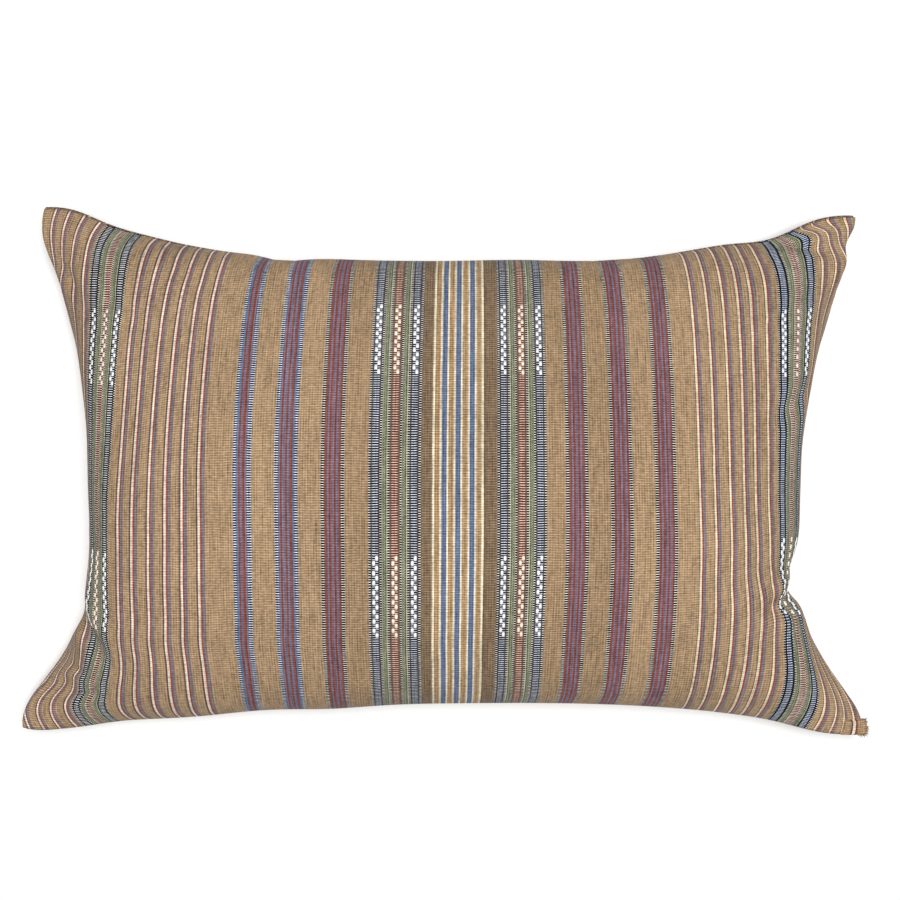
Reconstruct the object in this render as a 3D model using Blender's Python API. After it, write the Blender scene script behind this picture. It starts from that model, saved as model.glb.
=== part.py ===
"""A rectangular scatter cushion in striped handwoven cotton, lying on its back.

The cover is a front and a back panel of one size, joined by one plain seam all round, and
the whole is one filled solid. A row of cloth keeps its length however it bends. Where the
filling lifts it most it draws the seam in most, and at the corners, where it is hardly
lifted, the cover stands out as four ears.

Metres. +X runs across the stripes, +Y along them, and +Z out of the face. The origin lies
on the surface, below the middle of the cushion.
"""

from collections import namedtuple

import bmesh
import bpy
import numpy as np

# The cover, sewn and laid flat
PANEL_WIDTH = 0.610
PANEL_HEIGHT = 0.391
SEAM_THICKNESS = 0.003

# The filled form: the seam lies at one level, with the crown above it and the back below
SEAM_LEVEL = 0.064
FRONT_RISE = 0.094
BACK_RISE = 0.080

# The back flattens on the surface. Share of the seam's level over which it rounds off to flat.
FLATTENING = 0.12

# How the cloth turns down from the crown to the seam on each side. The full turn, in degrees,
# is that of the row over the thickest filling: other rows turn less, as they climb less.
# Shares are of the length from the middle to the seam: a slow lean is complete at the knee,
# and the edge then rolls over about roll_at within roll_spread.
Turn = namedtuple("Turn", "full_turn lean knee roll_at roll_spread")
TURNS = {
    "left": Turn(full_turn=125, lean=0.09, knee=0.73, roll_at=0.83, roll_spread=0.06),
    "right": Turn(full_turn=125, lean=0.13, knee=0.71, roll_at=0.86, roll_spread=0.05),
    "top": Turn(full_turn=96, lean=0.22, knee=0.30, roll_at=0.815, roll_spread=0.05),
    "bottom": Turn(full_turn=120, lean=0.19, knee=0.71, roll_at=0.88, roll_spread=0.078),
}

# Share by which the cloth beside each edge is taken up along that edge
GATHERS = {"left": 0.068, "right": 0.018, "top": 0.065}

# How far each filled corner is drawn in from the flat cover's corner, and how far it lifts
Corner = namedtuple("Corner", "name across along draw_x draw_y lift")
CORNERS = (
    Corner("top left", -1, +1, 0.015, -0.008, 0.004),
    Corner("top right", +1, +1, -0.005, 0.007, -0.003),
    Corner("bottom left", -1, -1, 0.017, 0.0165, -0.006),
    Corner("bottom right", +1, -1, 0.010, 0.0195, 0.003),
)
CORNER_FALLOFF = 2.2

# Where the filling pushes an edge out, or a pinch draws it in: place along the edge from its
# middle, half length of the stretch, and the distance outward
EdgeShift = namedtuple("EdgeShift", "edge place spread outward")
EDGE_SHIFTS = (
    EdgeShift("bottom", -0.189, 0.076, 0.011),
    EdgeShift("right", -0.074, 0.020, -0.013),
)
EDGE_FALLOFF = 5.0

# Soft creases pressed into the front: the middle of each in cloth lengths from the panel's
# middle, the heading of its line in degrees from +X, and its half length, half width and depth
Crease = namedtuple("Crease", "name across along heading half_length half_width depth")
CREASES = (
    Crease("right pinch", 0.246, -0.088, 20, 0.026, 0.010, 0.010),
    Crease("right pucker", 0.249, 0.056, 34, 0.020, 0.009, 0.003),
    Crease("top right ear", 0.278, 0.176, -24, 0.022, 0.007, 0.002),
    Crease("bottom left neck", -0.252, -0.116, -42, 0.024, 0.012, 0.006),
    Crease("bottom left ear", -0.272, -0.166, 8, 0.026, 0.007, 0.002),
    Crease("top left ear", -0.280, 0.146, -40, 0.016, 0.009, 0.003),
    Crease("first top dip", -0.133, 0.170, 90, 0.014, 0.010, 0.003),
    Crease("second top dip", -0.075, 0.160, 90, 0.012, 0.010, 0.002),
    Crease("third top dip", 0.116, 0.162, 90, 0.014, 0.010, 0.003),
)
# A crease is shallower where the ear is thin: it reaches its full depth at this height
FULL_CREASE_HEIGHT = 0.020
# A crease's section: how soon its floor rises into the ridges, and how soon the ridges die out
CREASE_RIDGE = 0.5
CREASE_FADE = 0.7

# Mesh steps across and along the panel, and how much closer they stand toward the edges
CELLS_ACROSS = 54
CELLS_ALONG = 38
EDGE_CROWDING = 0.5

PROFILE_STEPS = 240
LEAST_HEIGHT_SHARE = 0.001
# Faces whose corners are all this close to the surface make up the resting patch
RESTING_TOLERANCE = 1e-6

CLOTH_COLOUR = (0.42, 0.29, 0.17, 1.0)
CLOTH_ROUGHNESS = 0.9


def crowded_places(cells):
    """Places from -1 to 1 that stand closer together toward both ends."""
    even = np.linspace(-1.0, 1.0, cells + 1)
    return (1.0 - EDGE_CROWDING) * even + EDGE_CROWDING * np.sin(even * np.pi / 2.0)


def turn_share(turn, shares):
    """Share of its whole turn that the cloth has made at each share of its length."""
    ramp = np.clip(shares / turn.knee, 0.0, 1.0)
    lean = ramp * ramp * (3.0 - 2.0 * ramp)
    roll = 1.0 / (1.0 + np.exp((turn.roll_at - shares) / turn.roll_spread))
    return turn.lean * lean + (1.0 - turn.lean) * roll


def running_sum(values, step):
    """Integral along the last axis, from 0 at the first value."""
    pieces = (values[..., 1:] + values[..., :-1]) * (step / 2.0)
    return np.concatenate([np.zeros(values.shape[:-1] + (1,)), np.cumsum(pieces, axis=-1)], axis=-1)


def bend_half(turn, length, height_shares, places):
    """Reach and remaining height share of half rows of cloth, each climbing its share of the rise."""
    steps = np.linspace(0.0, 1.0, PROFILE_STEPS + 1)
    angles = np.radians(turn.full_turn) * np.outer(height_shares, turn_share(turn, steps))
    reach = running_sum(np.cos(angles), length / PROFILE_STEPS)
    drop = running_sum(np.sin(angles), length / PROFILE_STEPS)
    height = 1.0 - drop / drop[:, -1:]
    reach_at = np.array([np.interp(places, steps, row) for row in reach])
    height_at = np.array([np.interp(places, steps, row) for row in height])
    return reach_at, height_at


def bend_rows(low_turn, high_turn, half_length, height_shares, places):
    """Position and height share of whole rows of cloth at places from -1 to 1."""
    low_reach, low_height = bend_half(low_turn, half_length, height_shares, -np.minimum(places, 0.0))
    high_reach, high_height = bend_half(high_turn, half_length, height_shares, np.maximum(places, 0.0))
    is_low = places < 0.0
    return np.where(is_low, -low_reach, high_reach), np.where(is_low, low_height, high_height)


def toward(sign, places, power):
    """Weight that grows from 0 at one edge to 1 at the edge on the sign's side."""
    return ((1.0 + sign * places) / 2.0) ** power


def shift_edges(x, y, across, along):
    """Draws the corners in and pushes or pinches stretches of the edges."""
    half_width = PANEL_WIDTH / 2.0
    half_height = PANEL_HEIGHT / 2.0
    for corner in CORNERS:
        weight = np.outer(
            toward(corner.along, along, CORNER_FALLOFF), toward(corner.across, across, CORNER_FALLOFF)
        )
        x = x - corner.across * corner.draw_x * weight
        y = y - corner.along * corner.draw_y * weight
    for shift in EDGE_SHIFTS:
        sign = 1 if shift.edge in ("top", "right") else -1
        if shift.edge in ("top", "bottom"):
            stretch = np.exp(-(((across * half_width - shift.place) / shift.spread) ** 2))
            y = y + sign * shift.outward * np.outer(toward(sign, along, EDGE_FALLOFF), stretch)
        else:
            stretch = np.exp(-(((along * half_height - shift.place) / shift.spread) ** 2))
            x = x + sign * shift.outward * np.outer(stretch, toward(sign, across, EDGE_FALLOFF))
    return x, y


def filled_panel(across, along):
    """Plan position of each place of the panel, and its height as a share of the rise."""
    side_turns = TURNS["left"], TURNS["right"], PANEL_WIDTH / 2.0
    end_turns = TURNS["bottom"], TURNS["top"], PANEL_HEIGHT / 2.0
    across_height = np.maximum(bend_rows(*side_turns, np.ones(1), across)[1][0], LEAST_HEIGHT_SHARE)
    along_height = np.maximum(bend_rows(*end_turns, np.ones(1), along)[1][0], LEAST_HEIGHT_SHARE)
    x, row_height = bend_rows(*side_turns, along_height, across)
    y, column_height = bend_rows(*end_turns, across_height, along)
    height = (row_height * along_height[:, None] + (column_height * across_height[:, None]).T) / 2.0
    x = x * (1.0 - GATHERS["top"] * np.maximum(along, 0.0)[:, None] ** 2)
    y = y.T * (1.0 - GATHERS["left"] * np.minimum(across, 0.0) ** 2)
    y = y * (1.0 - GATHERS["right"] * np.maximum(across, 0.0) ** 2)
    x, y = shift_edges(x, y, across, along)
    return x, y, height


def corner_lift(across, along):
    """Height by which the ears lift off the level of the seam."""
    lift = np.zeros((len(along), len(across)))
    for corner in CORNERS:
        weight = np.outer(
            toward(corner.along, along, CORNER_FALLOFF), toward(corner.across, across, CORNER_FALLOFF)
        )
        lift = lift + corner.lift * weight
    return lift


def surface_normals(points):
    """Unit normals of a grid of points, from the steps to the neighbours."""
    normals = np.cross(np.gradient(points, axis=1), np.gradient(points, axis=0))
    return normals / np.linalg.norm(normals, axis=2, keepdims=True)


def crease_depths(across, along):
    """Depth of the creases at each place, with a low ridge along both sides of each."""
    across_length, along_length = np.meshgrid(across * PANEL_WIDTH / 2.0, along * PANEL_HEIGHT / 2.0)
    depth = np.zeros_like(across_length)
    for crease in CREASES:
        heading = np.radians(crease.heading)
        from_x = across_length - crease.across
        from_y = along_length - crease.along
        lengthwise = (from_x * np.cos(heading) + from_y * np.sin(heading)) / crease.half_length
        sideways = (from_y * np.cos(heading) - from_x * np.sin(heading)) / crease.half_width
        trough = (1.0 - CREASE_RIDGE * sideways**2) * np.exp(-CREASE_FADE * sideways**2)
        depth = depth + crease.depth * trough * np.exp(-(lengthwise**2))
    return depth


def flattened(depths):
    """Depths below the seam, rounded off to the level of the surface where they would pass it."""
    share = depths / SEAM_LEVEL
    into = np.clip(share - (1.0 - FLATTENING), 0.0, 2.0 * FLATTENING)
    rounded = np.minimum(share, 1.0 + FLATTENING) - into**2 / (4.0 * FLATTENING)
    return np.minimum(rounded, 1.0) * SEAM_LEVEL


def cushion_grids():
    """Front and back points of the cushion, row by row."""
    across = crowded_places(CELLS_ACROSS)
    along = crowded_places(CELLS_ALONG)
    x, y, height = filled_panel(across, along)
    lift = corner_lift(across, along)
    half_seam = SEAM_THICKNESS / 2.0
    front = np.dstack([x, y, SEAM_LEVEL + half_seam + lift + height * (FRONT_RISE - half_seam)])
    presence = np.clip((front[..., 2] - SEAM_LEVEL) / FULL_CREASE_HEIGHT, 0.0, 1.0)
    front = front - surface_normals(front) * (crease_depths(across, along) * presence)[..., None]
    back_depth = half_seam - lift + height * (BACK_RISE - half_seam)
    back = np.dstack([x, y, SEAM_LEVEL - flattened(back_depth)])
    middle = (front.reshape(-1, 3).min(axis=0) + front.reshape(-1, 3).max(axis=0)) / 2.0
    middle[2] = 0.0
    return front - middle, back - middle


def skin(bm, vertices, upward):
    """Faces between the rows of vertices, turned up or down."""
    for row, next_row in zip(vertices, vertices[1:]):
        for column in range(len(row) - 1):
            corners = [row[column], row[column + 1], next_row[column + 1], next_row[column]]
            bm.faces.new(corners if upward else corners[::-1])


def rim(vertices):
    """The grid's outer vertices in one loop, turning from +X to +Y."""
    loop = vertices[0][:-1]
    loop = loop + [row[-1] for row in vertices[:-1]]
    loop = loop + vertices[-1][:0:-1]
    return loop + [row[0] for row in vertices[:0:-1]]


def cloth_material():
    material = bpy.data.materials.new("striped cotton")
    material.use_nodes = True
    shader = material.node_tree.nodes["Principled BSDF"]
    shader.inputs["Base Color"].default_value = CLOTH_COLOUR
    shader.inputs["Roughness"].default_value = CLOTH_ROUGHNESS
    shader.inputs["Metallic"].default_value = 0.0
    return material


def build_cushion():
    """One closed solid: front panel, back panel with its flat resting patch, and the seam between."""
    front_points, back_points = cushion_grids()
    bm = bmesh.new()
    front = [[bm.verts.new(point) for point in row] for row in front_points]
    back = [[bm.verts.new(point) for point in row] for row in back_points]
    skin(bm, front, upward=True)
    skin(bm, back, upward=False)
    upper = rim(front)
    lower = rim(back)
    for index in range(len(upper)):
        after = (index + 1) % len(upper)
        bm.faces.new([lower[index], lower[after], upper[after], upper[index]])
    resting = [face for face in bm.faces if all(vertex.co.z < RESTING_TOLERANCE for vertex in face.verts)]
    for vertex in {vertex for face in resting for vertex in face.verts}:
        vertex.co.z = 0.0
    bmesh.ops.dissolve_faces(bm, faces=resting, use_verts=False)
    mesh = bpy.data.meshes.new("cushion")
    bm.to_mesh(mesh)
    bm.free()
    mesh.shade_smooth()
    mesh.materials.append(cloth_material())
    bpy.context.scene.collection.objects.link(bpy.data.objects.new("cushion", mesh))


for old_object in list(bpy.data.objects):
    bpy.data.objects.remove(old_object)
build_cushion()
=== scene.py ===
import math
from collections import namedtuple

import bpy
import numpy as np
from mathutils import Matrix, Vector


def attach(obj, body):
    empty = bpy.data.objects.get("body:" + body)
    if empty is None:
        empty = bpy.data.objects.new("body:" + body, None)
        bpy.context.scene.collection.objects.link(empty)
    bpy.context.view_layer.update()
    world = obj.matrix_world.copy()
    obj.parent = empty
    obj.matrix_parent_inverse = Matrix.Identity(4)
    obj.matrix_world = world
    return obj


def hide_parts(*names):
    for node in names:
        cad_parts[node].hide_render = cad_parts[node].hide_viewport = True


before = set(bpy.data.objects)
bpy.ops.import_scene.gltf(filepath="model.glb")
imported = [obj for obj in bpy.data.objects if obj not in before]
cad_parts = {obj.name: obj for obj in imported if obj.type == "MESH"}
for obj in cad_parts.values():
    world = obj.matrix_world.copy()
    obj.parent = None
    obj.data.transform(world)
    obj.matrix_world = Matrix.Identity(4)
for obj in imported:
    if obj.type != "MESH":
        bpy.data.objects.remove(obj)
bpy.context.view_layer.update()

scene = bpy.context.scene


# Camera
# The photograph looks down on the face, almost square to it, from about 1.6 metres. The
# cushion stands a little left of the picture's middle and below it, hence the small shift.
CAMERA_AIM = Vector((-0.0034, -0.0085, 0.111))
CAMERA_DISTANCE = 1.6
CAMERA_LEAN = math.radians(-0.99)
LENS_MM = 95.05
CAMERA_SHIFT = (0.0150, 0.0393)


def placed(name, data):
    """A new object in the scene that shows this mesh, camera or light."""
    made = bpy.data.objects.new(name, data)
    scene.collection.objects.link(made)
    return made


def new_mesh(name, points, faces=()):
    """A mesh of these points and faces."""
    mesh = bpy.data.meshes.new(name)
    mesh.from_pydata(np.asarray(points).tolist(), [], np.asarray(faces).tolist())
    return mesh


camera_data = bpy.data.cameras.new("camera")
camera_data.lens = LENS_MM
camera_data.sensor_width = 36.0
camera_data.shift_x = CAMERA_SHIFT[0]
camera_data.shift_y = CAMERA_SHIFT[1]
camera = placed("camera", camera_data)
toward_camera = Vector((0.0, -math.sin(CAMERA_LEAN), math.cos(CAMERA_LEAN)))
camera.location = CAMERA_AIM + toward_camera * CAMERA_DISTANCE
camera.rotation_euler = (CAMERA_LEAN, 0.0, 0.0)
scene.camera = camera


# Filled cover
# Two panels of one handwoven cotton, 610 by 391 mm laid flat, sewn together all round and
# filled until the crown stands 94 mm above the seam. A row of cloth keeps its length as it
# bends, so the sides draw in where the filling is thick, and the corners stay out as ears.
PANEL_WIDTH = 0.610
PANEL_HEIGHT = 0.391
HALF_WIDTH_MM = PANEL_WIDTH * 500.0
HALF_HEIGHT_MM = PANEL_HEIGHT * 500.0
SEAM_THICKNESS = 0.003
SEAM_ALLOWANCE_MM = 2.0
SEAM_LEVEL = 0.064
FRONT_RISE = 0.094
BACK_RISE = 0.080
FLATTENING = 0.12
PROFILE_STEPS = 240
LEAST_HEIGHT_SHARE = 0.001

# How the cloth turns down from the crown to each edge: its whole turn in degrees, the share of
# it that is made before the knee, and where and how gently the rest rolls over
Turn = namedtuple("Turn", "full_turn lean knee roll_at roll_spread")
TURNS = {
    "left": Turn(125, 0.09, 0.73, 0.83, 0.06),
    "right": Turn(125, 0.13, 0.71, 0.86, 0.05),
    "top": Turn(96, 0.22, 0.30, 0.815, 0.05),
    "bottom": Turn(120, 0.19, 0.71, 0.88, 0.078),
}
# How much the ends of the cloth are gathered toward each edge
GATHERS = {"left": 0.068, "right": 0.018, "top": 0.065}

# How far each corner is drawn in and lifted, in metres as everything here that says no unit
Corner = namedtuple("Corner", "across along draw_x draw_y lift")
CORNERS = (
    Corner(-1, +1, 0.015, -0.008, 0.004),
    Corner(+1, +1, -0.005, 0.007, -0.003),
    Corner(-1, -1, 0.017, 0.0165, -0.006),
    Corner(+1, -1, 0.010, 0.0195, 0.003),
)
CORNER_FALLOFF = 2.2

# Where a stretch of an edge stands out, or is drawn in where that is negative
EdgeShift = namedtuple("EdgeShift", "edge place spread outward falloff")
EDGE_SHIFTS = [EdgeShift(*row) for row in (
    ("bottom", -0.189, 0.076, 0.011, 5.0),
    ("bottom", -0.078, 0.040, 0.004, 5.0),
    ("bottom", -0.300, 0.020, 0.0028, 8.0),
    ("top", 0.245, 0.026, -0.004, 8.0),
    ("top", -0.118, 0.018, -0.003, 8.0),
    ("top", -0.258, 0.024, -0.0035, 8.0),
    ("top", 0.055, 0.045, 0.003, 5.0),
    ("right", -0.070, 0.020, -0.022, 16.0),
    ("right", 0.176, 0.011, -0.006, 16.0),
    ("left", -0.045, 0.030, -0.002, 5.0),
    ("left", -0.106, 0.010, -0.005, 16.0),
    ("left", -0.112, 0.014, 0.003, 4.0),
)]

# Where the cloth dips into a crease, and ridges up a little on both sides of it. A heading is in
# degrees from +X.
Crease = namedtuple("Crease", "name across along heading half_length half_width depth")
CREASES = [Crease(*row) for row in (
    ("right pinch", 0.252, -0.088, 20, 0.022, 0.008, 0.008),
    ("under the right pinch", 0.237, -0.096, 86, 0.020, 0.006, 0.003),
    ("right pucker", 0.249, 0.056, 34, 0.020, 0.009, 0.003),
    ("top right ear", 0.270, 0.176, -24, 0.024, 0.005, 0.005),
    ("bottom left neck", -0.252, -0.116, -42, 0.024, 0.010, 0.007),
    ("bottom left ear", -0.284, -0.156, 8, 0.014, 0.005, 0.003),
    ("bottom left ear, inner", -0.256, -0.164, 20, 0.016, 0.005, 0.003),
    ("bottom left ear, upper", -0.266, -0.143, -14, 0.010, 0.004, 0.002),
    ("top left ear", -0.284, 0.142, -52, 0.018, 0.008, 0.003),
    ("first top dip", -0.133, 0.170, 90, 0.014, 0.010, 0.003),
    ("second top dip", -0.075, 0.160, 90, 0.012, 0.010, 0.002),
    ("third top dip", 0.116, 0.162, 90, 0.014, 0.010, 0.003),
)]
CREASE_RIDGE = 0.5
CREASE_FADE = 0.7
FULL_CREASE_HEIGHT = 0.012

# Where the cloth has crept over its filling, so its stripes and inlay lie off their straight run:
# sideways, as far as round the side edge and under it, and lengthwise
SLIDE_FIELDS = "name across along reach_across reach_along sideways lengthwise"
Slide = namedtuple("Slide", SLIDE_FIELDS, defaults=(0.0,))
SLIDES = [Slide(*row) for row in (
    ("top left ear", -0.255, 0.172, 0.040, 0.034, -0.0080),
    ("top left edge", -0.300, 0.128, 0.024, 0.026, -0.0120),
    ("top left fold", -0.285, 0.133, 0.010, 0.016, -0.0120),
    ("under the top left ear", -0.262, 0.136, 0.016, 0.026, -0.0042),
    ("top left crease", -0.270, 0.143, 0.012, 0.015, -0.0036),
    ("left edge, upper", -0.286, 0.080, 0.030, 0.060, -0.0135),
    ("left edge, lower", -0.292, -0.020, 0.028, 0.060, -0.0060),
    ("left middle", -0.240, -0.030, 0.045, 0.050, -0.0035),
    ("beside the top left ear", -0.195, 0.165, 0.050, 0.030, 0.0030),
    ("upper left", -0.228, 0.060, 0.045, 0.075, 0.0025, -0.0090),
    ("lower left", -0.205, -0.090, 0.060, 0.060, -0.0026, -0.0040),
    ("left neck", -0.282, -0.094, 0.032, 0.024, -0.0180),
    ("bottom left ear", -0.266, -0.172, 0.066, 0.027, -0.0160),
    ("beside the left neck", -0.208, -0.142, 0.040, 0.028, -0.0028),
    ("bottom left pucker, upper", -0.272, -0.148, 0.026, 0.008, -0.0040),
    ("bottom left pucker, lower", -0.262, -0.160, 0.030, 0.007, 0.0035),
    ("top right ear", 0.266, 0.146, 0.042, 0.042, 0.0090),
    ("top right edge", 0.296, 0.150, 0.026, 0.026, 0.0170),
    ("top right seam", 0.277, 0.1935, 0.017, 0.006, -0.0070),
    ("under the top right seam", 0.261, 0.182, 0.018, 0.010, 0.0070),
    ("top right pucker", 0.268, 0.168, 0.024, 0.010, 0.0025),
    ("right edge", 0.280, 0.080, 0.034, 0.055, 0.0080, 0.0025),
    ("right pinch", 0.248, -0.088, 0.028, 0.018, 0.0080),
    ("beside the right pinch", 0.218, -0.112, 0.017, 0.046, 0.0026),
    ("beside the right pinch, under", 0.2255, -0.102, 0.008, 0.009, 0.0030),
    ("under the right pinch", 0.2565, -0.104, 0.012, 0.012, -0.0050),
    ("bottom right tip", 0.274, -0.176, 0.012, 0.024, 0.0032),
    ("above the right pinch", 0.250, -0.080, 0.035, 0.055, 0.0, 0.0115),
    ("right of the middle", 0.150, -0.045, 0.090, 0.055, 0.0022),
    ("lower right", 0.225, -0.105, 0.085, 0.070, 0.0060),
    ("bottom edge", 0.120, -0.182, 0.080, 0.020, -0.0026),
    ("bottom right ear", 0.262, -0.152, 0.036, 0.036, 0.0125),
)]
SLIDE_END_POWER = 10
SLIDE_UNDER_COLUMNS = 24

# The simulation that settles the cotton over its filling
SIMULATED_CELL = 0.0058
SIMULATION_FRAMES = 20
FILLING_PRESSURE = 4.0
COTTON_BENDING = 0.8
BROAD_WAVE = 0.030
MOST_WAVE = 0.005
RESTING_HEIGHT = 0.012

# The yarns, as they look in the cloth
YARNS = {
    "olive": "#675C41",
    "pale": "#F2EEE6",
    "black": "#0C0B0E",
    "navy": "#0F121D",
    "indigo": "#1A2644",
    "ice": "#F2F6FC",
    "frost": "#DFE5F0",
    "pale ice": "#DFE4E9",
    "denim": "#36435F",
    "salmon": "#EDD3BA",
    "oxblood": "#5F2C27",
    "moss": "#474B34",
    "pale sage": "#C4C3AF",
}
# Where a stripe of one colour takes one of these, its shade is painted shade: the same yarn, darker where it
# dips between picks. Some of these shades also serve on their own as a darker yarn in other bands.
TONED_YARNS = {
    "tan": ("#BEA181", "#977D5F"),
    "fawn": ("#B5997A", "#8F7659"),
    "sand": ("#C3A27C", "#977957"),
    "brown": ("#9A8369", "#6E5A46"),
    "cream": ("#ECE7D4", "#CFC3A6"),
    "white": ("#F7EAD6", "#D2C1AC"),
    "straw": ("#F1E5C6", "#CFBF9E"),
    "blue": ("#76829C", "#55627F"),
    "slate": ("#918688", "#6C6368"),
    "lilac": ("#8E869A", "#665E72"),
    "plum": ("#80645E", "#5A4644"),
    "dusk": ("#5A4E50", "#3E363A"),
    "brick": ("#9C5341", "#73433C"),
    "rust": ("#9A5E44", "#6C4746"),
    "madder": ("#AD5546", "#82453D"),
    "terracotta": ("#86654F", "#5C463C"),
    "sage": ("#9A9B80", "#74785C"),
}
for yarn, (tone, shade) in TONED_YARNS.items():
    YARNS[yarn], YARNS[yarn + " shade"] = tone, shade

# A band of warp: its width in mm, the two yarns that show in turn with each pair of picks, how it is woven,
# and the kind of thick inlay that floats over it in two places along the cloth. In a stripe of one colour
# the second yarn is the first one's painted shade between picks. A ground has no width of its own: it fills
# its group.
Band = namedtuple("Band", "width light dark weave inlay", defaults=("plain", None))
# How many pairs of picks later the yarns of each weave change
LATENESS = {"plain": 0.0, "bars": 0.0, "late bars": 0.5}


def solid(width, yarn):
    """A stripe of one colour: its yarn in turn with that yarn's painted shade, where it dips between picks.
    """
    return Band(width, yarn, yarn + " shade")


def in_turn(widths, *yarns):
    """Stripes of one colour side by side, of these widths, with the yarns taken in turn."""
    return tuple(solid(width, yarns[place % len(yarns)]) for place, width in enumerate(widths))


def bars(width, light, dark, inlay=None):
    """A stripe where the weft covers all light ends, then all dark ones, so rungs show."""
    return Band(width, light, dark, "bars", inlay)


def late_bars(width, light, dark):
    """The same with the rungs half a pair of picks later."""
    return Band(width, light, dark, "late bars")


GROUND = solid(0.0, "tan")
BROWN_GROUND = solid(0.0, "brown")
FAWN_GROUND = solid(0.0, "fawn")
SAGE = (
    solid(0.7, "sage"),
    late_bars(0.6, "pale sage", "moss"),
    solid(0.8, "sage"),
    Band(0.6, "sage shade", "moss"),
    Band(0.7, "pale sage", "sage"),
)
INLAID_GROUP = (
    bars(1.4, "pale", "black"),
    solid(0.8, "dusk"),
    bars(3.8, "frost", "navy", "cool"),
    solid(0.9, "dusk"),
    late_bars(1.3, "pale", "black"),
    *SAGE,
    bars(1.4, "pale", "black"),
    solid(1.1, "terracotta"),
    bars(3.8, "salmon", "oxblood", "warm"),
    solid(1.2, "terracotta"),
    late_bars(1.3, "pale", "black"),
    *SAGE,
    bars(1.3, "pale", "black"),
    solid(0.9, "dusk"),
    bars(3.7, "frost", "navy", "cool"),
    solid(0.9, "dusk"),
    late_bars(1.5, "pale", "black"),
)
LEFT_EDGE_GROUP = (
    bars(1.0, "pale", "black"),
    Band(0.9, "plum shade", "black"),
    bars(3.4, "ice", "black", "cool"),
    Band(1.0, "plum shade", "black"),
    late_bars(1.1, "pale", "black"),
    *SAGE,
    bars(1.1, "pale", "plum shade"),
    bars(3.2, "salmon", "oxblood", "warm"),
    late_bars(1.1, "pale", "plum shade"),
    *SAGE,
    Band(1.0, "plum shade", "black"),
    bars(3.4, "ice", "black", "cool"),
    Band(0.9, "plum shade", "black"),
    late_bars(1.0, "pale", "black"),
)
RIGHT_EDGE_GROUP = (
    bars(1.0, "pale", "navy"),
    Band(1.2, "navy", "navy"),
    bars(3.5, "pale ice", "denim", "cool"),
    Band(1.3, "navy", "navy"),
    late_bars(1.1, "pale", "moss"),
    *SAGE,
    bars(1.2, "pale", "rust shade"),
    bars(2.8, "salmon", "rust shade", "warm single"),
    late_bars(1.2, "pale", "rust shade"),
    *SAGE,
    Band(1.2, "navy", "navy"),
    bars(3.4, "pale ice", "denim", "cool"),
    Band(1.1, "navy", "navy"),
    late_bars(1.0, "pale", "navy"),
)
CENTRE_WIDTHS = (1.5, 3.35, 1.3, 3.35, 1.25, 3.3, 1.2, 3.4, 1.3, 3.3, 1.35, 3.4, 1.25, 3.1, 1.7)
CENTRE_GROUP = in_turn(CENTRE_WIDTHS, "cream", "sand", "cream", "blue")
LEFT_PIN_STRIPE = in_turn((1.2, 1.5, 1.1, 2.1), "plum", "white", "madder", "slate")
RIGHT_PIN_STRIPE = in_turn((0.6, 1.5, 1.1, 2.1), "plum", "straw", "madder", "slate")
NARROW_PLUM = (
    bars(2.1, "ice", "indigo"),
    *in_turn((1.5, 1.2, 1.3, 1.9, 1.2), "blue", "brick", "lilac", "brick", "lilac"),
    bars(2.8, "ice", "indigo"),
)
LEFT_PLUM = (
    bars(2.4, "ice", "indigo"),
    *in_turn((1.4, 1.4, 1.9, 1.5), "lilac", "brick", "lilac", "rust"),
    *in_turn((1.7, 1.7, 1.3), "lilac", "brick", "blue"),
    bars(2.4, "ice", "indigo"),
)
PLUM = (
    bars(2.3, "pale", "black"),
    *in_turn((1.8, 1.3, 1.7, 1.6, 1.6, 1.5, 1.6), "brick", "lilac"),
    bars(2.3, "pale", "black"),
)

# Where each group starts, from the middle of the panel, and how wide it was warped, in mm
Group = namedtuple("Group", "start width bands")
LEFT_PIN_STARTS = (-295.3, -283.3, -271.1, -258.8, -220.0, -209.5, -197.7, -186.2, -174.6, -162.8)
RIGHT_PIN_STARTS = (173.3, 184.0, 195.3, 205.4, 214.1, 224.2, 264.1, 274.6, 285.1, 295.1)
GROUPS = [
    *(Group(start, 5.9, LEFT_PIN_STRIPE) for start in LEFT_PIN_STARTS),
    *(Group(start, 5.3, RIGHT_PIN_STRIPE) for start in RIGHT_PIN_STARTS),
    Group(-251.6, 25.2, LEFT_EDGE_GROUP),
    Group(-137.5, 12.3, NARROW_PLUM),
    Group(-109.4, 15.6, LEFT_PLUM),
    Group(-78.3, 15.7, PLUM),
    Group(-62.6, 16.0, (FAWN_GROUND,)),
    Group(-46.6, 34.9, INLAID_GROUP),
    Group(-11.7, 7.4, (BROWN_GROUND,)),
    Group(-4.3, 34.2, CENTRE_GROUP),
    Group(29.9, 1.4, (Band(1.4, "olive", "brown shade"),)),
    Group(31.3, 7.6, (BROWN_GROUND,)),
    Group(38.9, 32.4, INLAID_GROUP[::-1]),
    Group(71.3, 12.7, (FAWN_GROUND,)),
    Group(84.0, 14.8, PLUM),
    Group(98.8, 14.8, (FAWN_GROUND,)),
    Group(113.6, 14.9, PLUM),
    Group(143.8, 14.8, PLUM),
    Group(233.5, 26.7, RIGHT_EDGE_GROUP),
]

# The weft lies closer where it was beaten harder. Each pair is a place along the cloth and the
# length of one pair of picks there, in mm.
BEAT = (
    *((-200, 1.72), (-60, 1.70), (0, 1.66), (60, 1.68), (90, 1.55)),
    *((118, 1.38), (128, 1.45), (142, 1.68), (200, 1.70)),
)

# The widest column and tallest row of the panels' grid, and the gap between two groups that is
# only rounding, all in mm
WIDEST_COLUMN = 2.6
TALLEST_ROW = 2.7
ROUNDING_MM = 0.001


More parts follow.
